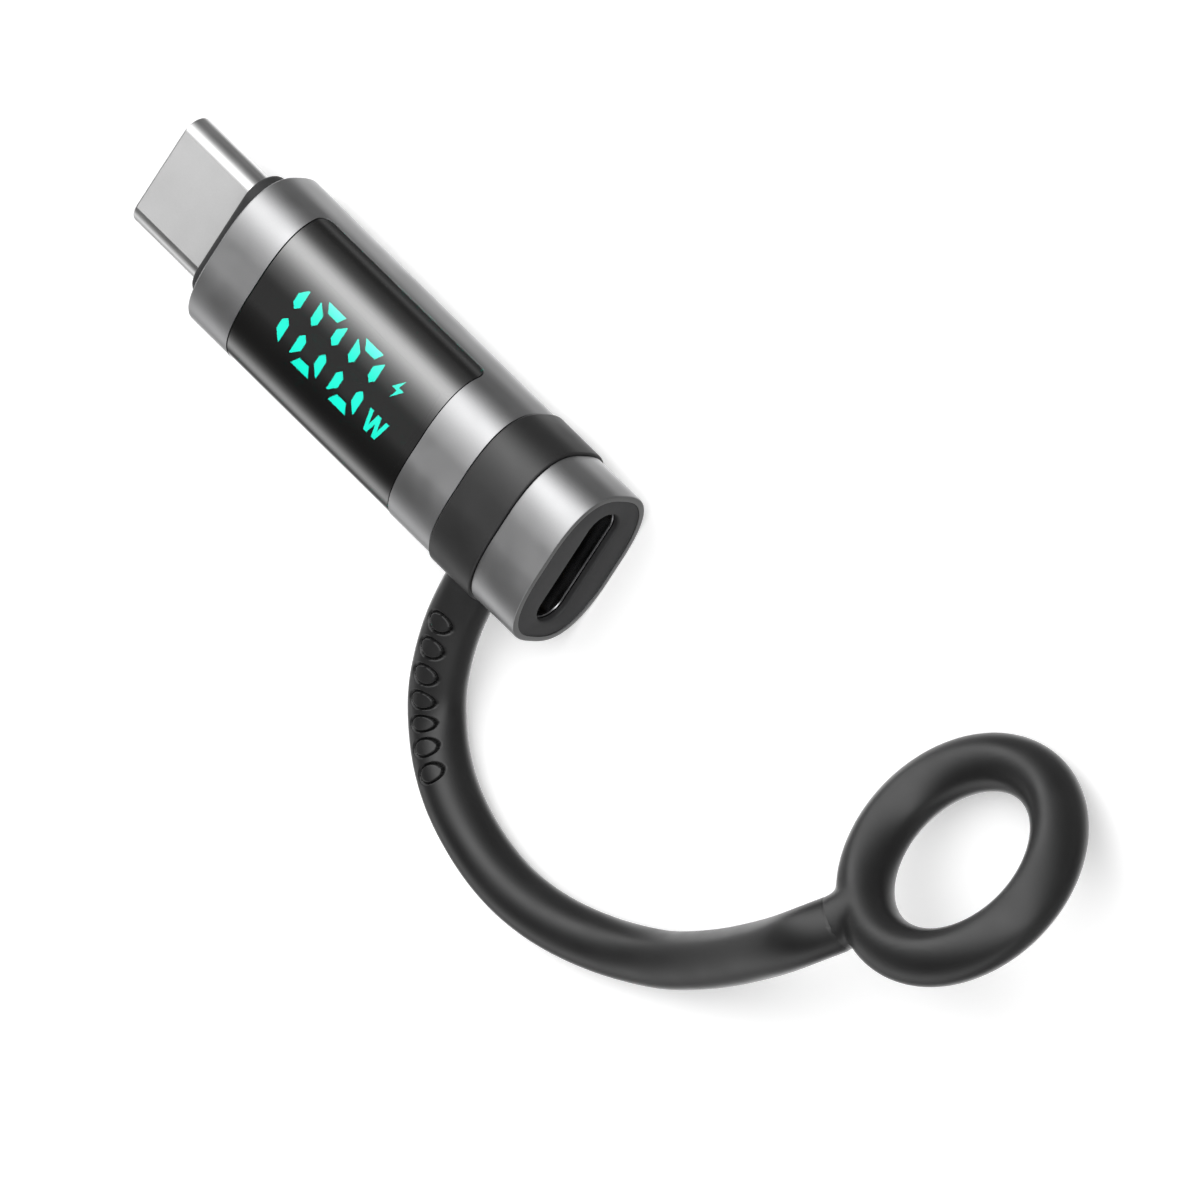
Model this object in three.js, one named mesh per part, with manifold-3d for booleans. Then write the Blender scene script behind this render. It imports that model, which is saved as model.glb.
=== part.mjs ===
// In-line power meter with a plug at one end, a socket at the other and a moulded lanyard.
// Millimetres, +Z up. +X runs from the plug to the socket. The back of the case lies on Z = 0.
import * as THREE from 'three';
import { mergeVertices } from 'three/addons/utils/BufferGeometryUtils.js';
import Module from 'manifold-3d';

const wasm = await Module();
wasm.setup();

// Case section: a pillow-shaped superellipse with a narrow flat along the back and the front.
const HALF_WIDTH = 5.78;
const HALF_HEIGHT = 3.93;
const PILLOW_POWER = 2.8;
const PILLOW_STEPS = 64;
const FLAT_RISE = 0.015;
const AXIS_Z = HALF_HEIGHT;

// Stations along X.
const PLUG_TIP = -20.5;
const COLLAR_FRONT = -13.85;
const SHELL_FRONT = -12.2;
const SHELL_REAR = 12.1;
const BAND_FRONT = 12.22;
const BAND_REAR = 16.28;
const CAP_FRONT = 16.32;
const CAP_REAR = 20.5;
const FACE_RECESS = 0.05;
const FACE_THICKNESS = 0.45;
const FACE_HOLE_EDGE = 0.12;
const RIM_EDGE = 0.08;

// Walls and gaps.
const METAL_WALL = 0.4;
const FIT = 0.05;
const THIN_FIT = 0.02;
const CARRIER_WALL = 0.55;
const EDGE = 0.15;

// Window, seen from the side: it wraps over the top and down to WINDOW_SILL above the axis.
const WINDOW_FRONT = -8.28;
const WINDOW_REAR = 8.02;
const WINDOW_SILL = 1.2;
const WINDOW_CORNER = 0.9;
const WINDOW_SEAM = 0.09;
const LENS_WALL = 0.4;

// Display stack, heights above the axis.
const DISPLAY_FRONT = -7.2;
const DISPLAY_REAR = 6.9;
const DISPLAY_HALF = 3.2;
const MASK_TOP = 3.15;
const MASK_THICKNESS = 0.2;
const HOUSING_TOP = 2.9;
const HOUSING_BASE = 1.2;
const GUIDE_BASE = 2.1;
const GUIDE_SHOULDER = 2.7;
const LED_BOARD_TOP = 1.15;
const LED_BOARD_BASE = 0.75;

// Seven-segment figures: the top of each figure points to +Y.
const FIGURE_Y = 0.02;
const HUNDREDS_X = -6.42;
const TENS_X = -2.665;
const ONES_X = 1.07;
const UNIT_X = 4.15;
const UNIT_Y = -1.45;
const BOLT_X = 4.15;
const BOLT_Y = 1.42;
const GLYPH_CLEARANCE = 0.05;

// Plug and socket, to the Type-C mating sizes.
const PLUG_WIDTH = 8.25;
const PLUG_HEIGHT = 2.4;
const PLUG_WALL = 0.28;
const PLUG_REAR = -12.0;
const PLUG_CAVITY_WIDTH = 6.8;
const PLUG_CAVITY_HEIGHT = 1.0;
const PLUG_CAVITY_END = -13.9;
const COLLAR_WIDTH = 9.5;
const COLLAR_HEIGHT = 3.9;
const SOCKET_WIDTH = 8.34;
const SOCKET_HEIGHT = 2.56;
const SOCKET_WALL = 0.3;
const SOCKET_REAR = 13.0;
const FACE_HOLE_WIDTH = 8.5;
const FACE_HOLE_HEIGHT = 2.72;
const TONGUE_WIDTH = 6.69;
const TONGUE_HEIGHT = 0.7;
const SOCKET_MOUTH = 19.95;
const TONGUE_TIP = 19.0;
const CONTACTS = 12;
const CONTACT_PITCH = 0.5;
const CONTACT_WIDTH = 0.25;
const CONTACT_THICKNESS = 0.07;

// Boards.
const BOARD_HALF_THICKNESS = 0.33;
const BOARD_FRONT = -11.9;
const BOARD_REAR = 12.8;
const BOARD_HALF_WIDTH = 4.5;

// Lanyard: a moulded band round the case, a round strap and a tilted ring.
const BAND_PROUD = 0.17;
const BAND_INNER = -0.72;
const GROOVE = -0.78;
const STRAP_RADIUS = 1.85;
const STRAP_SIDES = 8;
const STRAP_STEPS = 40;
const RING_RADIUS = 7.0;
const RING_TUBE = 1.85;
const RING_CENTRE = new THREE.Vector3(55.9, 4.7, 5.2);
const RING_NORMAL = new THREE.Vector3(-0.29, 0.37, 0.88).normalize();
const NECK_DIRECTION = new THREE.Vector3(-0.42, -0.873, 0.264).projectOnPlane(RING_NORMAL).normalize();
const NECK_END = 9.3;
const STRAP_ROUTE = [
  [14.35, -6.27, 3.45], [14.55, -8.9, 3.25], [15.2, -11.5, 2.85], [15.8, -13.5, 2.3],
  [16.8, -15.1, 1.92], [18.2, -16.5, 1.87], [20.5, -18.0, 1.87], [23.3, -19.0, 1.87],
  [26.3, -19.6, 1.87], [29.5, -19.6, 1.87], [32.8, -18.95, 1.87], [36.0, -17.8, 1.9],
  [38.4, -16.6, 2.2], [40.8, -15.2, 2.85], [43.2, -13.3, 3.8], [45.6, -11.2, 5.0],
  [47.8, -9.0, 6.25], [49.7, -7.0, 7.4], [51.1, -5.2, 8.0], [51.85, -3.65, 7.75],
];

// Materials.
const gunmetal = { color: 0x8b8d90, roughness: 0.32, metalness: 1.0 };
const steel = { color: 0xb9bbbd, roughness: 0.28, metalness: 1.0 };
const smokedGlass = { color: 0x0b0b0d, roughness: 0.06, metalness: 0.0 };
const darkPlastic = { color: 0x2b2c2e, roughness: 0.55, metalness: 0.0 };
const blackPlastic = { color: 0x141415, roughness: 0.6, metalness: 0.0 };
const silicone = { color: 0x3a3b3d, roughness: 0.7, metalness: 0.0 };
const board = { color: 0x14401f, roughness: 0.5, metalness: 0.0 };
const gold = { color: 0xd1a544, roughness: 0.3, metalness: 1.0 };
const whitePlastic = { color: 0xe8e8e4, roughness: 0.6, metalness: 0.0 };
const cyanLight = { color: 0x00ffdc, roughness: 0.4, metalness: 0.0 };
const chipEpoxy = { color: 0x1b1b1c, roughness: 0.65, metalness: 0.0 };
const ceramic = { color: 0xa98b66, roughness: 0.5, metalness: 0.0 };

const object = new THREE.Group();
object.name = 'power_meter';

// ---- helpers ----

function bodyFrom(positions, indices) {
  const geometry = new THREE.BufferGeometry();
  geometry.setAttribute('position', new THREE.Float32BufferAttribute(positions, 3));
  geometry.setIndex(indices);
  return geometry;
}

function toSolid(geometry) {
  const bare = geometry.clone();
  bare.deleteAttribute('normal');
  bare.deleteAttribute('uv');
  const merged = mergeVertices(bare, 1e-5);
  const vertProperties = new Float32Array(merged.attributes.position.array);
  const triVerts = new Uint32Array(merged.index.array);
  return new wasm.Manifold(new wasm.Mesh({ numProp: 3, vertProperties, triVerts }));
}

function fromSolid(solid) {
  const mesh = solid.getMesh();
  return bodyFrom(Array.from(mesh.vertProperties), Array.from(mesh.triVerts));
}

function cut(geometry, ...tools) {
  return fromSolid(tools.reduce((solid, tool) => solid.subtract(toSolid(tool)), toSolid(geometry)));
}

function join(...pieces) {
  return fromSolid(pieces.slice(1).reduce((solid, piece) => solid.add(toSolid(piece)), toSolid(pieces[0])));
}

function common(geometry, tool) {
  return fromSolid(toSolid(geometry).intersect(toSolid(tool)));
}

function add(name, geometry, look) {
  const mesh = new THREE.Mesh(geometry, new THREE.MeshStandardMaterial(look));
  mesh.name = name;
  mesh.position.z = AXIS_Z;
  object.add(mesh);
  return mesh;
}

function block(x0, x1, y0, y1, z0, z1) {
  const geometry = new THREE.BoxGeometry(x1 - x0, y1 - y0, z1 - z0);
  geometry.translate((x0 + x1) / 2, (y0 + y1) / 2, (z0 + z1) / 2);
  return geometry;
}

// One section of the case, grown outward by `grow`, as [y, z] pairs.
function pillow(grow, underside = HALF_HEIGHT + grow) {
  const power = 2 / PILLOW_POWER;
  const halfWidth = HALF_WIDTH + grow;
  const halfHeight = HALF_HEIGHT + grow;
  const points = [];
  for (let step = 0; step < PILLOW_STEPS; step += 1) {
    const angle = (2 * Math.PI * step) / PILLOW_STEPS;
    const c = Math.cos(angle);
    const s = Math.sin(angle);
    const y = halfWidth * Math.sign(c) * Math.abs(c) ** power;
    const z = (halfHeight + FLAT_RISE) * Math.sign(s) * Math.abs(s) ** power;
    points.push([y, Math.max(-underside, Math.min(halfHeight, z))]);
  }
  return points;
}

// A closed wall round the case: `profile` is the wall's own section as [x, grow] corners.
function pillowWall(profile, underside) {
  const positions = [];
  const indices = [];
  const count = profile.length;
  profile.forEach(([x, grow]) => {
    const lowest = underside === undefined ? HALF_HEIGHT + grow : Math.min(underside, HALF_HEIGHT + grow);
    pillow(grow, lowest).forEach(([y, z]) => positions.push(x, y, z));
  });
  for (let j = 0; j < count; j += 1) {
    const next = (j + 1) % count;
    for (let k = 0; k < PILLOW_STEPS; k += 1) {
      const side = (k + 1) % PILLOW_STEPS;
      const a = j * PILLOW_STEPS + k;
      const b = next * PILLOW_STEPS + k;
      const c = next * PILLOW_STEPS + side;
      const d = j * PILLOW_STEPS + side;
      indices.push(a, b, c, a, c, d);
    }
  }
  return outward(bodyFrom(positions, indices));
}

function volumeOf(geometry) {
  const p = geometry.attributes.position;
  const index = geometry.index;
  const corners = [new THREE.Vector3(), new THREE.Vector3(), new THREE.Vector3()];
  let total = 0;
  for (let i = 0; i < index.count; i += 3) {
    corners.forEach((corner, n) => corner.fromBufferAttribute(p, index.getX(i + n)));
    total += corners[0].dot(corners[1].clone().cross(corners[2])) / 6;
  }
  return total;
}

function outward(geometry) {
  if (volumeOf(geometry) < 0) {
    const index = geometry.index;
    for (let i = 0; i < index.count; i += 3) {
      const second = index.getX(i + 1);
      index.setX(i + 1, index.getX(i + 2));
      index.setX(i + 2, second);
    }
  }
  return geometry;
}

// A flat plate of the case section between two stations.
function pillowPlate(x0, x1, grow) {
  const shape = new THREE.Shape(pillow(grow).map(([y, z]) => new THREE.Vector2(y, z)));
  return alongX(shape, x0, x1);
}

// Extrudes a shape drawn in Y and Z from x0 to x1.
function alongX(shape, x0, x1, curveSegments = 10) {
  const geometry = new THREE.ExtrudeGeometry(shape, { depth: x1 - x0, bevelEnabled: false, curveSegments });
  const swap = new THREE.Matrix4().set(0, 0, 1, x0, 1, 0, 0, 0, 0, 1, 0, 0, 0, 0, 0, 1);
  geometry.applyMatrix4(swap);
  return geometry;
}

// Extrudes a shape drawn in X and Y from z0 to z1.
function alongZ(shape, z0, z1, curveSegments = 6) {
  const geometry = new THREE.ExtrudeGeometry(shape, { depth: z1 - z0, bevelEnabled: false, curveSegments });
  geometry.translate(0, 0, z0);
  return geometry;
}

function stadium(width, height) {
  const radius = height / 2;
  const flat = width / 2 - radius;
  const shape = new THREE.Shape();
  shape.moveTo(-flat, -radius);
  shape.lineTo(flat, -radius);
  shape.absarc(flat, 0, radius, -Math.PI / 2, Math.PI / 2, false);
  shape.lineTo(-flat, radius);
  shape.absarc(-flat, 0, radius, Math.PI / 2, (3 * Math.PI) / 2, false);
  return shape;
}

function stadiumTube(width, height, holeWidth, holeHeight, x0, x1) {
  const shape = stadium(width, height);
  shape.holes.push(new THREE.Path(stadium(holeWidth, holeHeight).getPoints(10)));
  return alongX(shape, x0, x1);
}

// A tapered plug of stadium section, from one size at x0 to another at x1.
function stadiumFrustum(width0, height0, x0, width1, height1, x1) {
  const rings = [[width0, height0, x0], [width1, height1, x1]].map(([width, height, x]) => (
    stadium(width, height).getPoints(10).map((point) => [x, point.x, point.y])
  ));
  rings.forEach((ring) => {
    const [first] = ring;
    const last = ring[ring.length - 1];
    if (Math.hypot(first[1] - last[1], first[2] - last[2]) < 1e-6) ring.pop();
  });
  const count = rings[0].length;
  const positions = [...rings.flat().flat(), x0, 0, 0, x1, 0, 0];
  const indices = [];
  for (let k = 0; k < count; k += 1) {
    const side = (k + 1) % count;
    indices.push(k, count + k, count + side, k, count + side, side);
    indices.push(2 * count, k, side, 2 * count + 1, count + side, count + k);
  }
  return outward(bodyFrom(positions, indices));
}

function polygon(points) {
  return new THREE.Shape(points.map(([x, y]) => new THREE.Vector2(x, y)));
}

// ---- case ----

function windowTool(shrink) {
  const left = WINDOW_FRONT + shrink;
  const right = WINDOW_REAR - shrink;
  const sill = WINDOW_SILL + shrink;
  const radius = WINDOW_CORNER - shrink;
  const top = 6;
  const reach = 8;
  const shape = new THREE.Shape();
  shape.moveTo(left, top);
  shape.lineTo(left, sill + radius);
  shape.absarc(left + radius, sill + radius, radius, Math.PI, 1.5 * Math.PI, false);
  shape.lineTo(right - radius, sill);
  shape.absarc(right - radius, sill + radius, radius, 1.5 * Math.PI, 2 * Math.PI, false);
  shape.lineTo(right, top);
  const geometry = new THREE.ExtrudeGeometry(shape, { depth: 2 * reach, bevelEnabled: false, curveSegments: 6 });
  geometry.rotateX(Math.PI / 2);
  geometry.translate(0, reach, 0);
  return geometry;
}

function addCase() {
  const sleeve = pillowWall([
    [SHELL_FRONT, -METAL_WALL], [SHELL_FRONT, -EDGE], [SHELL_FRONT + EDGE / 3, -EDGE / 3],
    [SHELL_FRONT + EDGE, 0], [SHELL_REAR - EDGE / 2, 0], [SHELL_REAR, -EDGE / 2], [SHELL_REAR, -METAL_WALL],
  ]);
  add('metal_shell', cut(sleeve, windowTool(0)), gunmetal);

  const lensTube = pillowWall([
    [WINDOW_FRONT - 1, -THIN_FIT], [WINDOW_REAR + 1, -THIN_FIT],
    [WINDOW_REAR + 1, -LENS_WALL], [WINDOW_FRONT - 1, -LENS_WALL],
  ]);
  add('display_window', common(lensTube, windowTool(WINDOW_SEAM)), smokedGlass);

  const carrierOuter = -METAL_WALL - FIT;
  const carrierInner = carrierOuter - CARRIER_WALL;
  const neckInner = carrierInner - 0.2;
  const carrierFront = SHELL_FRONT + 0.3;
  const grooveFront = BAND_FRONT - FIT;
  const grooveRear = BAND_REAR + FIT;
  const carrierRear = CAP_REAR - FACE_RECESS - FACE_THICKNESS;
  const carrier = pillowWall([
    [carrierFront, carrierOuter], [grooveFront, carrierOuter], [grooveFront, GROOVE],
    [grooveRear, GROOVE], [grooveRear, carrierOuter], [carrierRear, carrierOuter],
    [carrierRear, neckInner], [grooveFront - 1, neckInner], [grooveFront - 1.5, carrierInner],
    [carrierFront, carrierInner],
  ]);
  const far = 30;
  const half = THIN_FIT / 2;
  const upperTool = block(-far, far, -far, far, half, far);
  const lowerTool = block(-far, far, -far, far, -far, -half);
  const openingMargin = 0.7;
  const openingSill = 1.9;
  const opening = block(
    WINDOW_FRONT + openingMargin, WINDOW_REAR - openingMargin, -far, far, openingSill, far,
  );
  add('carrier_upper', cut(common(carrier, upperTool), opening), blackPlastic);
  add('carrier_lower', common(carrier, lowerTool), blackPlastic);

  const cap = pillowWall([
    [CAP_FRONT, -METAL_WALL], [CAP_FRONT, -EDGE / 2], [CAP_FRONT + EDGE / 2, 0],
    [CAP_REAR - RIM_EDGE, 0], [CAP_REAR, -RIM_EDGE], [CAP_REAR, -METAL_WALL],
  ]);
  add('end_cap', cap, gunmetal);

  const faceFront = carrierRear + THIN_FIT;
  const faceRear = CAP_REAR - FACE_RECESS;
  const facePlate = pillowPlate(faceFront, faceRear, carrierOuter + THIN_FIT);
  const faceHole = alongX(stadium(FACE_HOLE_WIDTH, FACE_HOLE_HEIGHT), faceFront - 1, faceRear + 1);
  const flare = stadiumFrustum(
    FACE_HOLE_WIDTH, FACE_HOLE_HEIGHT, faceRear - FACE_HOLE_EDGE, FACE_HOLE_WIDTH + 4 * FACE_HOLE_EDGE,
    FACE_HOLE_HEIGHT + 4 * FACE_HOLE_EDGE, faceRear + FACE_HOLE_EDGE,
  );
  add('face_plate', cut(facePlate, faceHole, flare), darkPlastic);

  const flangeRear = carrierFront - THIN_FIT;
  const flangeFront = SHELL_FRONT + THIN_FIT * 4;
  const nose = alongX(stadium(COLLAR_WIDTH, COLLAR_HEIGHT), COLLAR_FRONT, flangeRear, 12);
  const flange = pillowPlate(flangeFront, flangeRear, carrierOuter + THIN_FIT);
  const plugSlot = stadium(PLUG_WIDTH + 2 * THIN_FIT, PLUG_HEIGHT + 2 * THIN_FIT);
  const plugHole = alongX(plugSlot, COLLAR_FRONT - 1, flangeRear + 1);
  add('plug_collar', cut(join(nose, flange), plugHole), darkPlastic);
}

// ---- display ----

// Outlines from a figure's middle: an upright bar, an end bar and the middle bar.
const UPRIGHT = [[1.355, 0.7], [1.01, 0.36], [0.665, 0.7], [0.665, 1.38], [1.265, 1.97], [1.355, 1.97]];
const END_BAR = [[-0.86, 2.4], [0.86, 2.4], [0.46, 1.75], [-0.46, 1.75]];
const MIDDLE_BAR = [[-0.6, 0], [-0.35, 0.25], [0.35, 0.25], [0.6, 0], [0.35, -0.25], [-0.35, -0.25]];
const UNIT_GLYPH = [
  [-0.95, 0.7], [-0.62, 0.7], [-0.4, -0.2], [-0.16, 0.7], [0.16, 0.7], [0.4, -0.2], [0.62, 0.7],
  [0.95, 0.7], [0.56, -0.7], [0.24, -0.7], [0, 0.1], [-0.24, -0.7], [-0.56, -0.7],
];
const BOLT_GLYPH = [[0.25, 0.8], [-0.5, -0.1], [-0.02, -0.1], [-0.25, -0.8], [0.5, 0.14], [0.02, 0.14]];

function outlineAt(x, y, outline, flipX = 1, flipY = 1) {
  return outline.map(([px, py]) => [x + flipX * px, y + flipY * py]);
}

function oneOutlines(x) {
  return [1, -1].map((up) => outlineAt(x, FIGURE_Y, UPRIGHT, 1, up));
}

function zeroOutlines(x) {
  const uprights = [1, -1].flatMap((side) => [1, -1].map((up) => outlineAt(x, FIGURE_Y, UPRIGHT, side, up)));
  const ends = [1, -1].map((up) => outlineAt(x, FIGURE_Y, END_BAR, 1, up));
  return [...uprights, ...ends, outlineAt(x, FIGURE_Y, MIDDLE_BAR)];
}

// Moves every side of an outline outward by the same amount.
function grown(outline, amount) {
  const corners = outline.map(([x, y]) => new THREE.Vector2(x, y));
  const reach = Math.sign(THREE.ShapeUtils.area(corners)) * amount;
  const normal = (from, to) => new THREE.Vector2(to.y - from.y, from.x - to.x).normalize();
  return corners.map((corner, k) => {
    const before = normal(corners[(k + corners.length - 1) % corners.length], corner);
    const after = normal(corner, corners[(k + 1) % corners.length]);
    const step = reach / (1 + before.dot(after));
    return [corner.x + (before.x + after.x) * step, corner.y + (before.y + after.y) * step];
  });
}

// Each figure with its well's corners, its outlines and the rows of lamps under it.
const FIGURE_LAMPS = [-1.7, -0.6, 0.6, 1.9];
const DISPLAY_CELLS = [
  {
    name: 'light_guide_hundreds', low: [-6.0, -2.75], high: [-4.6, 2.85],
    outlines: oneOutlines(HUNDREDS_X), lamps: FIGURE_LAMPS,
  },
  {
    name: 'light_guide_tens', low: [-4.2, -2.75], high: [-0.9, 2.85],
    outlines: zeroOutlines(TENS_X), lamps: FIGURE_LAMPS,
  },
  {
    name: 'light_guide_ones', low: [-0.5, -2.75], high: [2.8, 2.85],
    outlines: zeroOutlines(ONES_X), lamps: FIGURE_LAMPS,
  },
  {
    name: 'light_guide_unit', low: [3.1, -2.75], high: [5.6, -0.1],
    outlines: [outlineAt(UNIT_X, UNIT_Y, UNIT_GLYPH)], lamps: [-1.43],
  },
  {
    name: 'light_guide_bolt', low: [3.1, 0.3], high: [5.6, 2.85],
    outlines: [outlineAt(BOLT_X, BOLT_Y, BOLT_GLYPH)], lamps: [1.58],
  },
];

function cellBlock(cell, shrink, z0, z1) {
  const [x0, y0] = cell.low;
  const [x1, y1] = cell.high;
  return block(x0 + shrink, x1 - shrink, y0 + shrink, y1 - shrink, z0, z1);
}

function addDisplay() {
  const guideTop = MASK_TOP - THIN_FIT;
  DISPLAY_CELLS.forEach((cell) => {
    const raised = cell.outlines.map((outline) => alongZ(polygon(outline), GUIDE_SHOULDER - 0.1, guideTop));
    add(cell.name, join(cellBlock(cell, FIT, GUIDE_BASE, GUIDE_SHOULDER), ...raised), cyanLight);
  });

  const maskPlate = block(
    DISPLAY_FRONT, DISPLAY_REAR, -DISPLAY_HALF, DISPLAY_HALF, MASK_TOP - MASK_THICKNESS, MASK_TOP,
  );
  const holes = DISPLAY_CELLS.flatMap((cell) => cell.outlines)
    .map((outline) => alongZ(polygon(grown(outline, GLYPH_CLEARANCE)), MASK_TOP - 1, MASK_TOP + 1));
  add('display_mask', cut(maskPlate, ...holes), blackPlastic);

  const housing = block(DISPLAY_FRONT, DISPLAY_REAR, -DISPLAY_HALF, DISPLAY_HALF, HOUSING_BASE, HOUSING_TOP);
  const wells = DISPLAY_CELLS.map((cell) => cellBlock(cell, 0, HOUSING_BASE - 1, HOUSING_TOP + 1));
  add('display_housing', cut(housing, ...wells), whitePlastic);

  const boardPlate = block(
    DISPLAY_FRONT, DISPLAY_REAR, -DISPLAY_HALF, DISPLAY_HALF, LED_BOARD_BASE, LED_BOARD_TOP,
  );
  const chipHalf = 0.4;
  const chipTop = LED_BOARD_TOP + 0.35;
  const chips = DISPLAY_CELLS.flatMap((cell) => {
    const middle = (cell.low[0] + cell.high[0]) / 2;
    return cell.lamps.map((y) => block(
      middle - chipHalf, middle + chipHalf, y - chipHalf, y + chipHalf, LED_BOARD_TOP - 0.1, chipTop,
    ));
  });
  add('led_board', join(boardPlate, ...chips), board);

  [['pin_strip_front', -6.6], ['pin_strip_rear', 6.3]].forEach(([name, x]) => {
    const bar = block(x - 0.35, x + 0.35, -2.8, 2.8, BOARD_HALF_THICKNESS + 0.12, LED_BOARD_BASE - 0.12);
    const pins = [-2.25, -0.75, 0.75, 2.25].map((y) => block(
      x - 0.15, x + 0.15, y - 0.15, y + 0.15, BOARD_HALF_THICKNESS + THIN_FIT, LED_BOARD_BASE - THIN_FIT,
    ));
    add(name, join(bar, ...pins), gold);
  });
}

// ---- main board ----

function addMainBoard() {
  add('main_board', block(
    BOARD_FRONT, BOARD_REAR, -BOARD_HALF_WIDTH, BOARD_HALF_WIDTH, -BOARD_HALF_THICKNESS, BOARD_HALF_THICKNESS,
  ), board);
  const seat = -BOARD_HALF_THICKNESS - THIN_FIT;
  const chip = (name, x, y, length, width, height, look, leads) => {
    const body = block(x - length / 2, x + length / 2, y - width / 2, y + width / 2, seat - height, seat - 0.08);
    const feet = leads.map(([lx, ly, lw, ll]) => block(
      x + lx - lw / 2, x + lx + lw / 2, y + ly - ll / 2, y + ly + ll / 2, seat - 0.2, seat,
    ));
    add(name, join(body, ...feet), look);
  };
  const sides = (length, width, count) => {
    const leads = [];
    for (let n = 0; n < count; n += 1) {
      const offset = (n - (count - 1) / 2) * 0.65;
      leads.push([offset, width / 2, 0.3, 0.5], [offset, -width / 2, 0.3, 0.5]);
      leads.push([length / 2, offset, 0.5, 0.3], [-length / 2, offset, 0.5, 0.3]);
    }
    return leads;
  };
  const ends = (length, width) => [[-length / 2 + 0.3, 0, 0.7, width], [length / 2 - 0.3, 0, 0.7, width]];
  chip('meter_chip', -2.4, 0, 4.0, 4.0, 0.9, chipEpoxy, sides(4.0, 4.0, 5));
  chip('port_chip', 3.4, -0.9, 3.0, 3.0, 0.8, chipEpoxy, sides(3.0, 3.0, 3));
  chip('shunt_resistor', -8.2, 0, 3.2, 6.3, 0.7, chipEpoxy, ends(3.2, 6.0));
  chip('voltage_regulator', 7.8, 1.9, 2.9, 1.6, 1.1, chipEpoxy, [
    [-0.95, -1.0, 0.4, 0.6], [0.95, -1.0, 0.4, 0.6], [0, 1.0, 0.4, 0.6],
  ]);
  chip('capacitor_input', 7.8, -1.9, 2.0, 1.25, 1.25, ceramic, ends(2.0, 1.25));
  chip('capacitor_output', 3.4, 2.6, 2.0, 1.25, 1.25, ceramic, ends(2.0, 1.25));
}

// ---- connectors ----

// A row of contact fingers with the cross-bar that joins them.
function contactRow(x0, x1, barAt, z) {
  const fingers = [];
  for (let n = 0; n < CONTACTS; n += 1) {
    const y = (n - (CONTACTS - 1) / 2) * CONTACT_PITCH;
    fingers.push(block(x0, x1, y - CONTACT_WIDTH / 2, y + CONTACT_WIDTH / 2, z, z + CONTACT_THICKNESS));
  }
  const reach = ((CONTACTS - 1) / 2) * CONTACT_PITCH + CONTACT_WIDTH / 2;
  return join(block(barAt - 0.12, barAt + 0.12, -reach, reach, z, z + CONTACT_THICKNESS), ...fingers);
}

function mirrored(geometry) {
  const copy = geometry.clone();
  copy.rotateX(Math.PI);
  return copy;
}

function addPlug() {
  const innerWidth = PLUG_WIDTH - 2 * PLUG_WALL;
  const innerHeight = PLUG_HEIGHT - 2 * PLUG_WALL;
  add('plug_shell', stadiumTube(PLUG_WIDTH, PLUG_HEIGHT, innerWidth, innerHeight, PLUG_TIP, PLUG_REAR), steel);

  const core = alongX(stadium(innerWidth - 2 * THIN_FIT, innerHeight - 2 * THIN_FIT), PLUG_TIP + EDGE, PLUG_REAR);
  const halfCavity = PLUG_CAVITY_HEIGHT / 2;
  const cavity = block(
    PLUG_TIP - 1, PLUG_CAVITY_END, -PLUG_CAVITY_WIDTH / 2, PLUG_CAVITY_WIDTH / 2, -halfCavity, halfCavity,
  );
  const slotHalf = 3.05;
  const contactBase = halfCavity - CONTACT_THICKNESS - 0.01;
  const slot = block(PLUG_CAVITY_END - 1, PLUG_REAR + 1, -slotHalf, slotHalf, contactBase - 0.03, halfCavity);
  add('plug_insulator', cut(core, cavity, slot, mirrored(slot)), blackPlastic);

  const row = contactRow(PLUG_TIP + 1.7, BOARD_FRONT + 0.5, PLUG_REAR + 0.35, contactBase);
  add('plug_contacts_upper', row, gold);
  add('plug_contacts_lower', mirrored(row), gold);

  const spring = block(PLUG_TIP + 0.3, PLUG_TIP + 1.5, -2.6, 2.6, contactBase, contactBase + CONTACT_THICKNESS);
  add('plug_ground_spring_upper', spring, steel);
  add('plug_ground_spring_lower', mirrored(spring), steel);

  const wall = PLUG_CAVITY_WIDTH / 2 - 0.01;
  const latch = polygon([
    [PLUG_TIP + 0.6, wall - 0.1], [PLUG_TIP + 1.1, wall - 0.3], [PLUG_TIP + 1.7, wall - 0.14],
    [PLUG_CAVITY_END - 0.05, wall - 0.14], [PLUG_CAVITY_END - 0.05, wall], [PLUG_TIP + 0.6, wall],
  ]);
  const latchLeft = alongZ(latch, -0.25, 0.25);
  add('plug_latch_left', latchLeft, steel);
  add('plug_latch_right', mirrored(latchLeft), steel);
}

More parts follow.
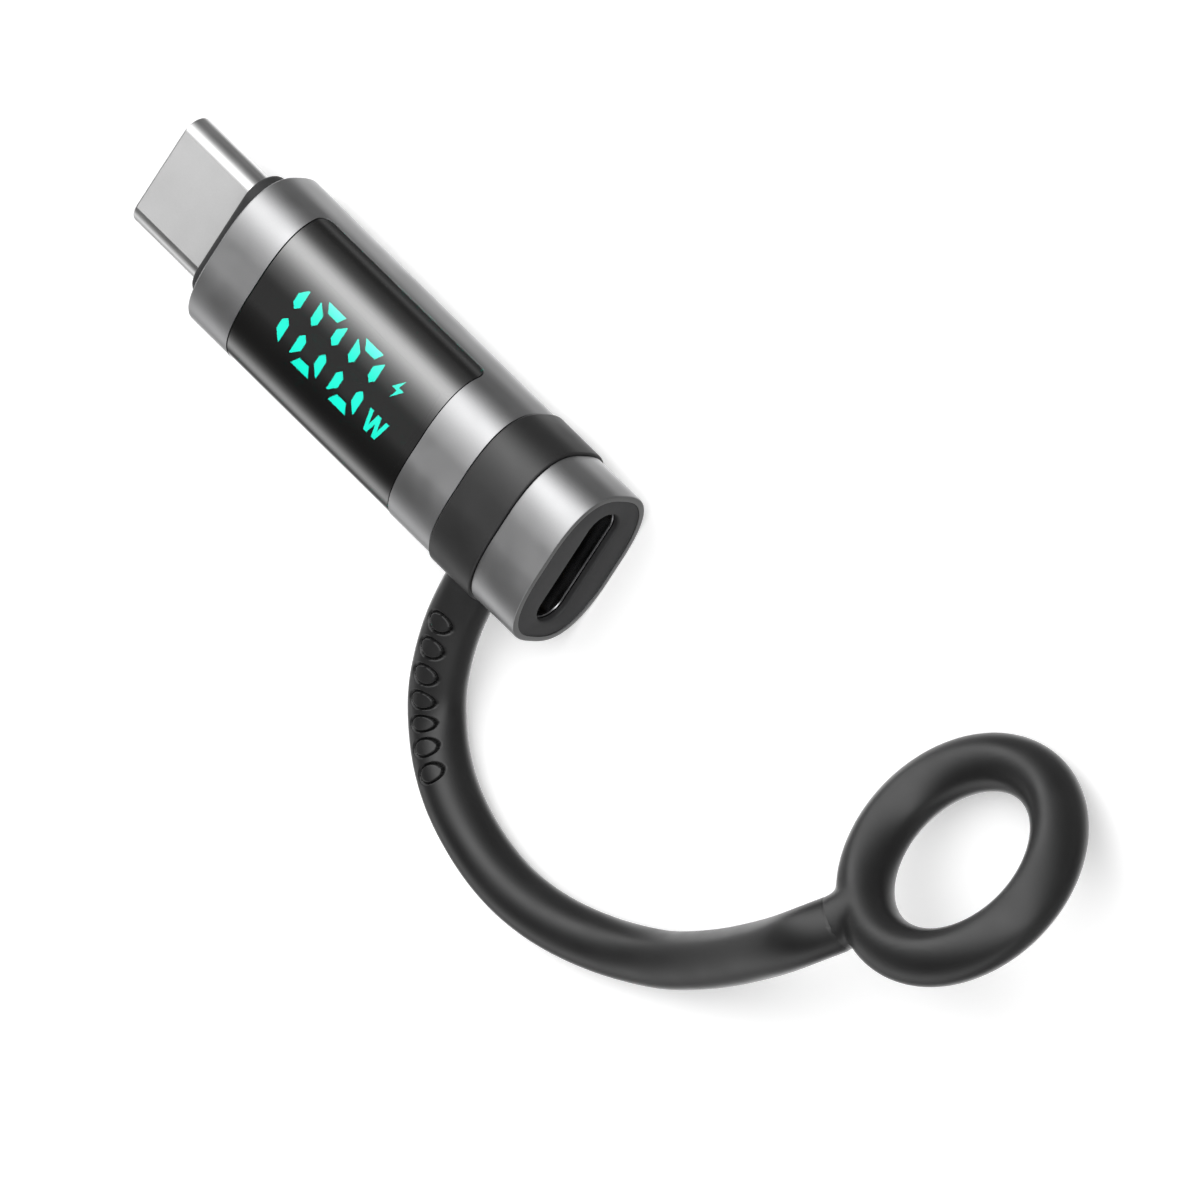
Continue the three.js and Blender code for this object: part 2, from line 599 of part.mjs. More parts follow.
function addSocket() {
  const outerWidth = SOCKET_WIDTH + 2 * SOCKET_WALL;
  const outerHeight = SOCKET_HEIGHT + 2 * SOCKET_WALL;
  const sleeve = stadiumTube(outerWidth, outerHeight, SOCKET_WIDTH, SOCKET_HEIGHT, SOCKET_REAR, SOCKET_MOUTH);
  add('socket_shell', sleeve, steel);

  const baseFront = SOCKET_REAR + 1.9;
  const base = alongX(stadium(SOCKET_WIDTH - 2 * THIN_FIT, SOCKET_HEIGHT - 2 * THIN_FIT), SOCKET_REAR, baseFront);
  const halfTongue = TONGUE_HEIGHT / 2;
  const tip = 0.18;
  const tongueShape = new THREE.Shape();
  tongueShape.moveTo(baseFront - 0.5, -halfTongue);
  tongueShape.lineTo(TONGUE_TIP - tip, -halfTongue);
  tongueShape.lineTo(TONGUE_TIP, -halfTongue + tip);
  tongueShape.lineTo(TONGUE_TIP, halfTongue - tip);
  tongueShape.lineTo(TONGUE_TIP - tip, halfTongue);
  tongueShape.lineTo(baseFront - 0.5, halfTongue);
  const tongue = new THREE.ExtrudeGeometry(tongueShape, { depth: TONGUE_WIDTH, bevelEnabled: false });
  tongue.rotateX(Math.PI / 2);
  tongue.translate(0, TONGUE_WIDTH / 2, 0);
  const plateHalf = 3.1;
  const plateEnd = TONGUE_TIP - 0.4;
  const plateSlot = block(SOCKET_REAR - 1, plateEnd + THIN_FIT, -plateHalf - THIN_FIT, plateHalf + THIN_FIT, -0.1, 0.1);
  const contactBase = halfTongue + 0.01;
  const slotHalf = 3.05;
  const contactSlot = block(
    SOCKET_REAR - 1, baseFront + 0.01, -slotHalf, slotHalf, halfTongue, contactBase + CONTACT_THICKNESS + 0.03,
  );
  const notch = block(TONGUE_TIP - 2.4, TONGUE_TIP - 1.4, TONGUE_WIDTH / 2 - 0.2, TONGUE_WIDTH, -1, 1);
  add('socket_tongue', cut(
    join(base, tongue), plateSlot, contactSlot, mirrored(contactSlot), notch, mirrored(notch),
  ), blackPlastic);
  add('socket_mid_plate', block(SOCKET_REAR, plateEnd, -plateHalf, plateHalf, -0.075, 0.075), steel);

  const row = contactRow(BOARD_REAR - 0.5, TONGUE_TIP - 0.6, SOCKET_REAR - 0.35, contactBase);
  add('socket_contacts_upper', row, gold);
  add('socket_contacts_lower', mirrored(row), gold);
}

// ---- lanyard ----

// A round bar from one point along a direction, tapering from one radius to another.
function bar(start, direction, length, radiusStart, radiusEnd, sides = 24) {
  const geometry = new THREE.CylinderGeometry(radiusEnd, radiusStart, length, sides);
  geometry.translate(0, length / 2, 0);
  const turn = new THREE.Quaternion().setFromUnitVectors(new THREE.Vector3(0, 1, 0), direction);
  geometry.applyQuaternion(turn);
  geometry.translate(start.x, start.y, start.z);
  return geometry;
}

function addLanyard() {
  const bandWall = pillowWall([
    [BAND_FRONT, BAND_INNER], [BAND_FRONT, 0], [BAND_FRONT + BAND_PROUD, BAND_PROUD],
    [BAND_REAR - BAND_PROUD, BAND_PROUD], [BAND_REAR, 0], [BAND_REAR, BAND_INNER],
  ], HALF_HEIGHT);
  add('lanyard_band', bandWall, silicone);

  const route = new THREE.CatmullRomCurve3(STRAP_ROUTE.map(([x, y, z]) => new THREE.Vector3(x, y, z)));
  const section = new THREE.Shape();
  for (let side = 0; side < STRAP_SIDES; side += 1) {
    const angle = ((side + 0.5) * 2 * Math.PI) / STRAP_SIDES;
    const x = STRAP_RADIUS * Math.cos(angle);
    const y = STRAP_RADIUS * Math.sin(angle);
    if (side === 0) section.moveTo(x, y);
    else section.lineTo(x, y);
  }
  const tube = new THREE.ExtrudeGeometry(section, { steps: STRAP_STEPS, extrudePath: route });
  add('lanyard_strap', tube, silicone).position.z = 0;

  const ring = new THREE.TorusGeometry(RING_RADIUS, RING_TUBE, 16, 48);
  const tilt = new THREE.Quaternion().setFromUnitVectors(new THREE.Vector3(0, 0, 1), RING_NORMAL);
  ring.applyQuaternion(tilt);
  ring.translate(RING_CENTRE.x, RING_CENTRE.y, RING_CENTRE.z);
  const neckStart = RING_CENTRE.clone().addScaledVector(NECK_DIRECTION, RING_RADIUS);
  const neck = bar(neckStart, NECK_DIRECTION, NECK_END - RING_RADIUS, STRAP_RADIUS + 0.5, STRAP_RADIUS, 16);
  add('lanyard_ring', join(ring, neck), silicone).position.z = 0;
}

addCase();
addDisplay();
addMainBoard();
addPlug();
addSocket();
addLanyard();

export default object;
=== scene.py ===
"""An in-line power meter on a pale floor: metal case, smoked window with lit figures and soft lanyard."""

import math

import bmesh
import bpy
from mathutils import Matrix, Vector


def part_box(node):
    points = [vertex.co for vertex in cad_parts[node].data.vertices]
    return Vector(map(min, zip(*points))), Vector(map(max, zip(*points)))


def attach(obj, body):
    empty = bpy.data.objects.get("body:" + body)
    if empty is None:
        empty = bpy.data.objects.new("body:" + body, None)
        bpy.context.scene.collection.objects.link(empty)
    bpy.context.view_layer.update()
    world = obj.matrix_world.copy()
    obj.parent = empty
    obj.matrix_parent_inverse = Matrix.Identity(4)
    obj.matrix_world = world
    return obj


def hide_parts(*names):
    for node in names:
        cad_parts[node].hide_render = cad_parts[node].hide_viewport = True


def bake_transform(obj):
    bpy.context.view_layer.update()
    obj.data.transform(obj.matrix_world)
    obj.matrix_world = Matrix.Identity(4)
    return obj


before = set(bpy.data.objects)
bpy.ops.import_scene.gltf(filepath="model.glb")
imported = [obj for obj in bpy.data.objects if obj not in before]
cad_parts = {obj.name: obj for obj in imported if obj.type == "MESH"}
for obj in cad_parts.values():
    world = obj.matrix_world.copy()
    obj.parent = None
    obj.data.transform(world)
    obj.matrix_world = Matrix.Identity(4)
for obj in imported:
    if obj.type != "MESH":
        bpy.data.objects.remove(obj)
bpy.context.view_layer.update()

MM = 0.001

# ---- sizes, from the frame ----

SHELL_LOW, SHELL_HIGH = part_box("metal_shell")
BAND_LOW, BAND_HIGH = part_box("lanyard_band")
CAP_LOW, CAP_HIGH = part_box("end_cap")
WINDOW_LOW, WINDOW_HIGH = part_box("display_window")
PLUG_LOW, PLUG_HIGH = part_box("plug_shell")
COLLAR_LOW, COLLAR_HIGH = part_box("plug_collar")
FACE_LOW, FACE_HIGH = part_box("face_plate")

HALF_WIDTH = SHELL_HIGH[1]
HALF_HEIGHT = (SHELL_HIGH[2] - SHELL_LOW[2]) / 2
AXIS_Z = (SHELL_HIGH[2] + SHELL_LOW[2]) / 2
PILLOW_POWER = 2.8
FLAT_RISE = 0.015 * MM
WALL = 0.4 * MM
SECTION_STEPS = 192

# The strap's centre line and the ring, as the CAD model has them.
STRAP_RADIUS = 1.85 * MM
STRAP_ROUTE = [
    (14.35, -6.27, 3.45), (14.55, -8.9, 3.25), (15.2, -11.5, 2.85), (15.8, -13.5, 2.3),
    (16.8, -15.1, 1.92), (18.2, -16.5, 1.87), (20.5, -18.0, 1.87), (23.3, -19.0, 1.87),
    (26.3, -19.6, 1.87), (29.5, -19.6, 1.87), (32.8, -18.95, 1.87), (36.0, -17.8, 1.9),
    (38.4, -16.6, 2.2), (40.8, -15.2, 2.85), (43.2, -13.3, 3.8), (45.6, -11.2, 5.0),
    (47.8, -9.0, 6.25), (49.7, -7.0, 7.4), (51.1, -5.2, 8.0), (51.85, -3.65, 7.75),
]
RING_RADIUS = 7.0 * MM
RING_TUBE = 1.85 * MM
RING_CENTRE = Vector((55.9, 4.7, 5.2)) * MM
RING_NORMAL = Vector((-0.29, 0.37, 0.88)).normalized()
NECK_GUIDE = Vector((-0.42, -0.873, 0.264))
NECK_DIRECTION = (NECK_GUIDE - RING_NORMAL * NECK_GUIDE.dot(RING_NORMAL)).normalized()
NECK_END = 9.3 * MM


# ---- mesh helpers ----

def link(name, mesh):
    piece = bpy.data.objects.new(name, mesh)
    bpy.context.scene.collection.objects.link(piece)
    return piece


def mesh_piece(name, points, faces):
    mesh = bpy.data.meshes.new(name)
    mesh.from_pydata([tuple(point) for point in points], [], faces)
    made = bmesh.new()
    made.from_mesh(mesh)
    bmesh.ops.recalc_face_normals(made, faces=made.faces)
    made.to_mesh(mesh)
    made.free()
    return link(name, mesh)


def smooth(piece, angle=32):
    for face in piece.data.polygons:
        face.use_smooth = True
    piece.data.set_sharp_from_angle(angle=math.radians(angle))


def apply_modifiers(piece):
    shown = piece.evaluated_get(bpy.context.evaluated_depsgraph_get())
    mesh = bpy.data.meshes.new_from_object(shown)
    piece.modifiers.clear()
    piece.data = mesh


def carve(piece, tool, operation):
    modifier = piece.modifiers.new(operation, "BOOLEAN")
    modifier.operation = operation
    modifier.solver = "EXACT"
    modifier.object = tool
    apply_modifiers(piece)
    bpy.data.objects.remove(tool)


def pillow(grow, underside=None):
    """One section of the case, grown outward, as (y, z) pairs about its axis."""
    power = 2 / PILLOW_POWER
    half_width = HALF_WIDTH + grow
    half_height = HALF_HEIGHT + grow
    lowest = half_height if underside is None else min(underside, half_height)
    points = []
    for step in range(SECTION_STEPS):
        angle = 2 * math.pi * step / SECTION_STEPS
        c, s = math.cos(angle), math.sin(angle)
        y = half_width * math.copysign(abs(c) ** power, c)
        z = (half_height + FLAT_RISE) * math.copysign(abs(s) ** power, s)
        points.append((y, max(-lowest, min(half_height, z))))
    return points


def swept_wall(name, profile, section):
    """A closed wall round X: section(grow) gives (y, z) pairs for each (x, grow) of the profile."""
    points = []
    for x, grow in profile:
        points += [(x, y, AXIS_Z + z) for y, z in section(grow)]
    count = len(points) // len(profile)
    faces = []
    for row in range(len(profile)):
        here = row * count
        after = (row + 1) % len(profile) * count
        for k in range(count):
            side = (k + 1) % count
            faces.append((here + k, after + k, after + side, here + side))
    return mesh_piece(name, points, faces)


def rounded_corner(x, grow, radius, start, turn, steps=5):
    """Profile points round a corner whose arc centre is (x, grow)."""
    points = []
    for step in range(steps + 1):
        angle = math.radians(start + turn * step / steps)
        points.append((x + radius * math.cos(angle), grow + radius * math.sin(angle)))
    return points


def tube_profile(front, rear, outer, inner, front_radius, rear_radius):
    """The section of a tube wall between two stations, with its outer edges rounded."""
    profile = [(front, inner)]
    profile += rounded_corner(front + front_radius, outer - front_radius, front_radius, 180, -90)
    profile += rounded_corner(rear - rear_radius, outer - rear_radius, rear_radius, 90, -90)
    profile.append((rear, inner))
    return profile


def stadium(width, height, steps=24):
    """A round-ended slot outline, as (y, z) pairs."""
    radius = height / 2
    flat = width / 2 - radius
    points = []
    for side, start in ((1, -90), (-1, 90)):
        for step in range(steps + 1):
            angle = math.radians(start + 180 * step / steps)
            points.append((side * flat + radius * math.cos(angle), radius * math.sin(angle)))
    return points


def loft(name, rings):
    """Joins rings of points, each an (x, [(y, z)...]) pair, into one skin."""
    points = []
    for x, ring in rings:
        points += [(x, y, AXIS_Z + z) for y, z in ring]
    count = len(rings[0][1])
    faces = []
    for row in range(len(rings) - 1):
        for k in range(count):
            side = (k + 1) % count
            low, high = row * count, (row + 1) * count
            faces.append((low + k, high + k, high + side, low + side))
    faces.append(tuple(range(count)))
    faces.append(tuple(range((len(rings) - 1) * count, len(rings) * count)))
    return mesh_piece(name, points, faces)


def slab_faces(count):
    """The sides and two ends between an outline of so many points and its copy."""
    faces = [(k, (k + 1) % count, count + (k + 1) % count, count + k) for k in range(count)]
    return faces + [tuple(range(count)), tuple(range(count, 2 * count))]


def prism(name, outline, low, high):
    """An outline of (x, y) pairs raised from one height to another."""
    points = [(x, y, low) for x, y in outline] + [(x, y, high) for x, y in outline]
    return mesh_piece(name, points, slab_faces(len(outline)))


def joined(name, parts):
    """One object from several, keeping each part's materials."""
    whole = bmesh.new()
    mesh = bpy.data.meshes.new(name)
    for part in parts:
        for material in part.data.materials:
            if material.name not in mesh.materials:
                mesh.materials.append(material)
        places = [mesh.materials.find(material.name) for material in part.data.materials]
        before = len(whole.faces)
        whole.from_mesh(part.data)
        whole.faces.ensure_lookup_table()
        for face in whole.faces[before:]:
            face.material_index = places[face.material_index] if places else 0
        bpy.data.objects.remove(part)
    whole.to_mesh(mesh)
    whole.free()
    return link(name, mesh)


# ---- camera, floor and light ----

# The camera looks down on the display from the socket's end, rolled so that the case runs
# down to the right. The lens is long, for a view almost without perspective.
TOWARD_CAMERA = Vector((0.475, 0.3437, 0.8102)).normalized()
PICTURE_UP = Vector((-0.6169, 0.7868, 0.028))
PICTURE_WIDTH = 75.2 * MM
LENS = 1500.0
SENSOR = 36.0
# The socket's face sits this far from the picture's centre, to the right and up.
FACE_SHIFT = (-1.33 * MM, 1.925 * MM)


CAMERA_REACH = 100


def add_camera():
    back = TOWARD_CAMERA
    right = PICTURE_UP.cross(back).normalized()
    up = back.cross(right).normalized()
    face = Vector((CAP_HIGH[0], 0, AXIS_Z))
    centre = face - right * FACE_SHIFT[0] - up * FACE_SHIFT[1]
    data = bpy.data.cameras.new("camera")
    data.lens = LENS
    data.sensor_width = SENSOR
    data.clip_end = CAMERA_REACH
    camera = bpy.data.objects.new("camera", data)
    bpy.context.scene.collection.objects.link(camera)
    turn = Matrix((right, up, back)).transposed().to_4x4()
    camera.matrix_world = Matrix.Translation(centre + back * PICTURE_WIDTH * LENS / SENSOR) @ turn
    bpy.context.scene.camera = camera


def math_node(tree, operation, first, second=None):
    node = tree.nodes.new("ShaderNodeMath")
    node.operation = operation
    for socket, value in zip(node.inputs, (first, second)):
        if value is None:
            continue
        if isinstance(value, (int, float)):
            socket.default_value = value
        else:
            tree.links.new(value, socket)
    return node.outputs[0]


# Long soft lamps that run along the case: angle from straight up towards +Y, strength and tightness.
OVERHEAD_LAMPS = [(19, 3.4, 12.5), (-89, 1.45, 21.0), (66, 0.17, 12.0), (113, 0.28, 56.0)]
UNDER_GLOW = [(180, 2.0, 9.0), (-146, 2.3, 25.0)]
# The glow from below fades toward +X by this share, over this much of the ray's direction.
DIM_SIDE = 0.85
DIM_REACH = 0.4
AMBIENT = 0.045
BACKDROP = 1.0


def add_world():
    world = bpy.data.worlds.new("studio")
    bpy.context.scene.world = world
    world.use_nodes = True
    tree = world.node_tree
    tree.nodes.clear()
    where = tree.nodes.new("ShaderNodeTexCoord")
    parts = tree.nodes.new("ShaderNodeSeparateXYZ")
    tree.links.new(where.outputs["Generated"], parts.inputs[0])
    along, across, high = parts.outputs
    angle = math_node(tree, "ARCTAN2", across, high)

    def lamps(listed):
        total = None
        for degrees, strength, tightness in listed:
            turn = math_node(tree, "SUBTRACT", angle, math.radians(degrees))
            swing = math_node(tree, "COSINE", turn)
            fall = math_node(tree, "MULTIPLY", math_node(tree, "SUBTRACT", swing, 1.0), tightness)
            lamp = math_node(tree, "MULTIPLY", math_node(tree, "EXPONENT", fall), strength)
            total = lamp if total is None else math_node(tree, "ADD", total, lamp)
        return total

    fade = tree.nodes.new("ShaderNodeMapRange")
    fade.interpolation_type = "SMOOTHSTEP"
    fade.inputs["From Min"].default_value = 0.0
    fade.inputs["From Max"].default_value = DIM_REACH
    fade.inputs["To Min"].default_value = 1.0
    fade.inputs["To Max"].default_value = 1.0 - DIM_SIDE
    tree.links.new(along, fade.inputs["Value"])
    under = math_node(tree, "MULTIPLY", lamps(UNDER_GLOW), fade.outputs[0])
    strength = math_node(tree, "ADD", math_node(tree, "ADD", lamps(OVERHEAD_LAMPS), under), AMBIENT)

    studio = tree.nodes.new("ShaderNodeBackground")
    tree.links.new(strength, studio.inputs["Strength"])
    backdrop = tree.nodes.new("ShaderNodeBackground")
    backdrop.inputs["Strength"].default_value = BACKDROP
    path = tree.nodes.new("ShaderNodeLightPath")
    mix = tree.nodes.new("ShaderNodeMixShader")
    tree.links.new(path.outputs["Is Camera Ray"], mix.inputs[0])
    tree.links.new(studio.outputs[0], mix.inputs[1])
    tree.links.new(backdrop.outputs[0], mix.inputs[2])
    out = tree.nodes.new("ShaderNodeOutputWorld")
    tree.links.new(mix.outputs[0], out.inputs[0])


FLOOR_HALF = 1.5
FLOOR_GAP = 0.02 * MM
FLOOR_GLOW = 0.3
FILL_POWER = 6.0
FILL_SIZE = 3.0
FILL_HEIGHT = 1.0


def add_fill():
    """A wide overhead panel that brightens the floor and leaves the metal's reflections alone."""
    data = bpy.data.lights.new("fill", "AREA")
    data.size = FILL_SIZE
    data.energy = FILL_POWER
    fill = bpy.data.objects.new("fill", data)
    fill.location = (0, 0, FILL_HEIGHT)
    fill.visible_glossy = False
    bpy.context.scene.collection.objects.link(fill)


def add_floor():
    half = FLOOR_HALF
    corners = [(-half, -half, 0), (half, -half, 0), (half, half, 0), (-half, half, 0)]
    floor = mesh_piece("floor", corners, [(0, 1, 2, 3)])
    floor.location.z = -FLOOR_GAP
    floor.visible_glossy = False
    paint(floor, "floor")
    shader = floor.data.materials[0].node_tree.nodes["Principled BSDF"]
    set_sockets(shader, {"Emission Color": (1, 1, 1, 1), "Emission Strength": FLOOR_GLOW})


# ---- materials ----

def new_material(name):
    material = bpy.data.materials.new("finish_" + name)
    material.use_nodes = True
    tree = material.node_tree
    return material, tree, tree.nodes["Principled BSDF"]


def set_sockets(shader, sockets):
    for name, value in sockets.items():
        shader.inputs[name].default_value = value


def noise(tree, scale, detail=3.0):
    """Noise in the object's own metres; a scale of 1000 repeats about every millimetre."""
    where = tree.nodes.new("ShaderNodeTexCoord")
    texture = tree.nodes.new("ShaderNodeTexNoise")
    texture.inputs["Scale"].default_value = scale
    texture.inputs["Detail"].default_value = detail
    tree.links.new(where.outputs["Object"], texture.inputs["Vector"])
    return texture.outputs["Fac"]


NOISE_LOW = 0.3
NOISE_HIGH = 0.7


def spread(tree, value, low, high):
    """Maps a noise value's usual range onto low to high."""
    node = tree.nodes.new("ShaderNodeMapRange")
    node.inputs["From Min"].default_value = NOISE_LOW
    node.inputs["From Max"].default_value = NOISE_HIGH
    node.inputs["To Min"].default_value = low
    node.inputs["To Max"].default_value = high
    tree.links.new(value, node.inputs["Value"])
    return node.outputs[0]


def colour_mix(tree, factor, first, second):
    node = tree.nodes.new("ShaderNodeMix")
    node.data_type = "RGBA"
    tree.links.new(factor, node.inputs["Factor"])
    node.inputs["A"].default_value = (*first, 1)
    node.inputs["B"].default_value = (*second, 1)
    return node.outputs["Result"]


GLOSS_SPREAD = 0.08
RELIEF_STRENGTH = 0.5


def grainy(name, colour, roughness, variation, grain, cloud, bump, **sockets):
    """A finish with a fine grain, slow colour clouds, uneven gloss and a slight relief.

    variation is the colour's share of change, grain and cloud are noise scales, bump is in millimetres.
    """
    def build():
        material, tree, shader = new_material(name)
        set_sockets(shader, sockets)
        fine = noise(tree, grain, 4.0)
        slow = noise(tree, cloud, 2.0)
        dark = [channel * (1 - variation) for channel in colour]
        light = [min(1.0, channel * (1 + variation)) for channel in colour]
        blend = math_node(tree, "MULTIPLY", math_node(tree, "ADD", fine, slow), 0.5)
        shade = colour_mix(tree, spread(tree, blend, 0, 1), dark, light)
        tree.links.new(shade, shader.inputs["Base Color"])
        gloss = spread(tree, slow, roughness - GLOSS_SPREAD / 2, roughness + GLOSS_SPREAD / 2)
        tree.links.new(gloss, shader.inputs["Roughness"])
        relief = tree.nodes.new("ShaderNodeBump")
        relief.inputs["Strength"].default_value = RELIEF_STRENGTH
        relief.inputs["Distance"].default_value = bump * MM
        tree.links.new(fine, relief.inputs["Height"])
        tree.links.new(relief.outputs[0], shader.inputs["Normal"])
        return material
    return build


def lit_resin():
    """Resin over a lamp: it glows, a little unevenly."""
    material, tree, shader = new_material("lit_resin")
    set_sockets(shader, {"Base Color": (0.0, 0.25, 0.2, 1), "Roughness": 0.4})
    shade = colour_mix(tree, spread(tree, noise(tree, 900), 0, 1), (0.0, 0.93, 0.68), (0.0, 1.0, 0.74))
    tree.links.new(shade, shader.inputs["Emission Color"])
    shader.inputs["Emission Strength"].default_value = LIT_STRENGTH
    return material


def smoked_lens():
    """Smoked lens: a dark mirror coat that lets a little of what lies behind through."""
    material, tree, shader = new_material("smoked_lens")
    set_sockets(shader, {"IOR": LENS_IOR, "Alpha": 1 - LENS_CLEAR})
    cloud = noise(tree, 160, 2.0)
    shade = colour_mix(tree, spread(tree, cloud, 0, 1), (0.0022, 0.002, 0.0018), (0.004, 0.0037, 0.0034))
    tree.links.new(shade, shader.inputs["Base Color"])
    tree.links.new(spread(tree, cloud, 0.10, 0.13), shader.inputs["Roughness"])
    return material


def clear_inside():
    """The lens's inner faces, which bond to the parts below and don't show."""
    material, tree, shader = new_material("clear_inside")
    set_sockets(shader, {"Base Color": (0.01, 0.01, 0.01, 1), "Roughness": 0.1, "Alpha": 0.0})
    return material


LENS_IOR = 2.7
LENS_CLEAR = 0.05
LIT_STRENGTH = 20.0

FINISH = {
    "floor": grainy("floor_card", (0.93, 0.93, 0.93), 0.9, 0.01, 900, 12, 0.01),
    "gunmetal": grainy("gunmetal", (0.49, 0.491, 0.496), 0.425, 0.05, 14000, 300, 0.0025, Metallic=1.0),
    "rim_metal": grainy("rim_metal", (0.3, 0.3, 0.3), 0.38, 0.05, 14000, 300, 0.003, Metallic=1.0),
    "plug_flat": grainy("plug_flat", (0.6, 0.6, 0.6), 0.55, 0.04, 12000, 400, 0.006, Metallic=0.35),
    "plug_round": grainy("plug_round", (0.78, 0.78, 0.78), 0.36, 0.03, 9000, 300, 0.001, Metallic=1.0),
    "steel": grainy("steel", (0.6, 0.6, 0.59), 0.26, 0.06, 9000, 400, 0.002, Metallic=1.0),
    # Steel with painted shade: the socket's shell is darker than the other steel, for the shade inside the
    # socket.
    "socket_steel_painted_shade": grainy("socket_steel_painted_shade", (0.4, 0.4, 0.41), 0.22, 0.06, 9000, 400, 0.002, Metallic=1.0),
    "dark_plastic": grainy("dark_plastic", (0.03, 0.03, 0.031), 0.6, 0.14, 8000, 500, 0.006),
    "black_plastic": grainy("black_plastic", (0.008, 0.008, 0.009), 0.55, 0.2, 7000, 500, 0.004),
    "white_plastic": grainy("white_plastic", (0.75, 0.75, 0.73), 0.55, 0.04, 6000, 500, 0.003),
    "resin": grainy("resin", (0.012, 0.02, 0.019), 0.35, 0.15, 5000, 600, 0.002),
    "circuit_board": grainy("circuit_board", (0.015, 0.09, 0.035), 0.35, 0.3, 3500, 900, 0.004),
    "gold_plate": grainy("gold_plate", (0.8, 0.56, 0.22), 0.25, 0.08, 7000, 500, 0.001, Metallic=1.0),
    "chip_epoxy": grainy("chip_epoxy", (0.02, 0.02, 0.021), 0.6, 0.25, 9000, 700, 0.004),
    "ceramic": grainy("ceramic", (0.42, 0.29, 0.17), 0.5, 0.18, 6000, 700, 0.003),
    "silicone": grainy("silicone", (0.009, 0.009, 0.0092), 0.48, 0.12, 7000, 350, 0.003, IOR=1.78),
    "silicone_strap": grainy(
        "silicone_strap", (0.012, 0.012, 0.0122), 0.4, 0.12, 7000, 350, 0.003, IOR=1.58,
    ),
    # Painted shade: a darker, rougher silicone for the grip grooves, in place of the shade that falls in
    # them.
    "silicone_groove_painted_shade": grainy(
        "silicone_groove_painted_shade", (0.003, 0.003, 0.0031), 0.7, 0.12, 7000, 350, 0.003, IOR=1.3,
    ),
    "lit": lit_resin,
    "lens": smoked_lens,
    "inside": clear_inside,
}


MADE = {}


def paint(piece, *finishes):
    piece.data.materials.clear()
    for finish in finishes:
        if finish not in MADE:
            MADE[finish] = FINISH[finish]()
        piece.data.materials.append(MADE[finish])


def paint_faces(piece, rule):
    for face in piece.data.polygons:
        face.material_index = rule(face)


def place(piece, body, node):
    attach(piece, body)
    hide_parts(node)


# ---- strap and ring ----

STRAP_REACH = 0.8 * MM
STRAP_SIDES = 128
SPAN_STEPS = 20
RELAX_ROUNDS = 150
# The gripped stretch has closer rows: each of its first rows is split into this many.
GRIPPED_ROWS = 150
GRIPPED_SPLIT = 3
# Past the path's ends, the strap reaches into the band and, a little thinner, into the ring's neck.
NECK_OVERLAP = 0.03 * MM
NECK_REACHES = (0.3 * MM, 0.7 * MM)
BAND_PULL = 0.8
SEAM_STEP = 0.05 * MM
# Oval grips pressed into the top of the strap's first stretch.
GRIP_FIRST = 2.4 * MM
GRIP_PITCH = 1.72 * MM
GRIP_COUNT = 7
GRIP_HALF_LENGTH = 0.6 * MM
GRIP_HALF_WIDTH = 0.95 * MM
GRIP_LINE = 0.12 * MM
GRIP_DEPTH = 0.2 * MM
GRIP_TILT = math.radians(4)


def smooth_route(stops, steps):
    """A centripetal Catmull-Rom curve through the stops."""
    ends = [stops[0] * 2 - stops[1], *stops, stops[-1] * 2 - stops[-2]]
    line = []
    for k in range(len(stops) - 1):
        p0, p1, p2, p3 = ends[k:k + 4]
        t1 = (p1 - p0).length ** 0.5
        t2 = t1 + (p2 - p1).length ** 0.5
        t3 = t2 + (p3 - p2).length ** 0.5
        for step in range(steps):
            t = t1 + (t2 - t1) * step / steps
            a1 = p0.lerp(p1, t / t1)
            a2 = p1.lerp(p2, (t - t1) / (t2 - t1))
            a3 = p2.lerp(p3, (t - t2) / (t3 - t2))
            b1 = a1.lerp(a2, t / t2)
            b2 = a2.lerp(a3, (t - t1) / (t3 - t1))
            line.append(b1.lerp(b2, (t - t1) / (t2 - t1)))
    line.append(stops[-1])
    return line


def relaxed(line, rounds):
    """The same line with its small unevenness smoothed away and its ends kept."""
    for _ in range(rounds):
        line = [line[0]] + [
            here / 2 + (before + after) / 4 for before, here, after in zip(line, line[1:], line[2:])
        ] + [line[-1]]
    return line


def grip_depth(run, across):
    """How deep the oval grips press the strap's skin, from the distance run and the distance across."""
    number = round((run - GRIP_FIRST) / GRIP_PITCH)
    if not 0 <= number < GRIP_COUNT:
        return 0.0
    along = (run - GRIP_FIRST - number * GRIP_PITCH) / GRIP_HALF_LENGTH
    radius = math.hypot(along, across / GRIP_HALF_WIDTH)
    away = abs(radius - 1) * (GRIP_HALF_LENGTH + GRIP_HALF_WIDTH) / 2 / GRIP_LINE
    return GRIP_DEPTH * max(0.0, 1 - away * away)


def strap_path():
    """The strap's centre line, with the ring's neck in place of the route's last stop."""
    stops = [Vector(stop) * MM for stop in STRAP_ROUTE[:-1]]
    stops.append(RING_CENTRE + NECK_DIRECTION * (NECK_END + NECK_OVERLAP))
    path = relaxed(smooth_route(stops, SPAN_STEPS), RELAX_ROUNDS)
    return smooth_route(path[:GRIPPED_ROWS], GRIPPED_SPLIT) + path[GRIPPED_ROWS:]


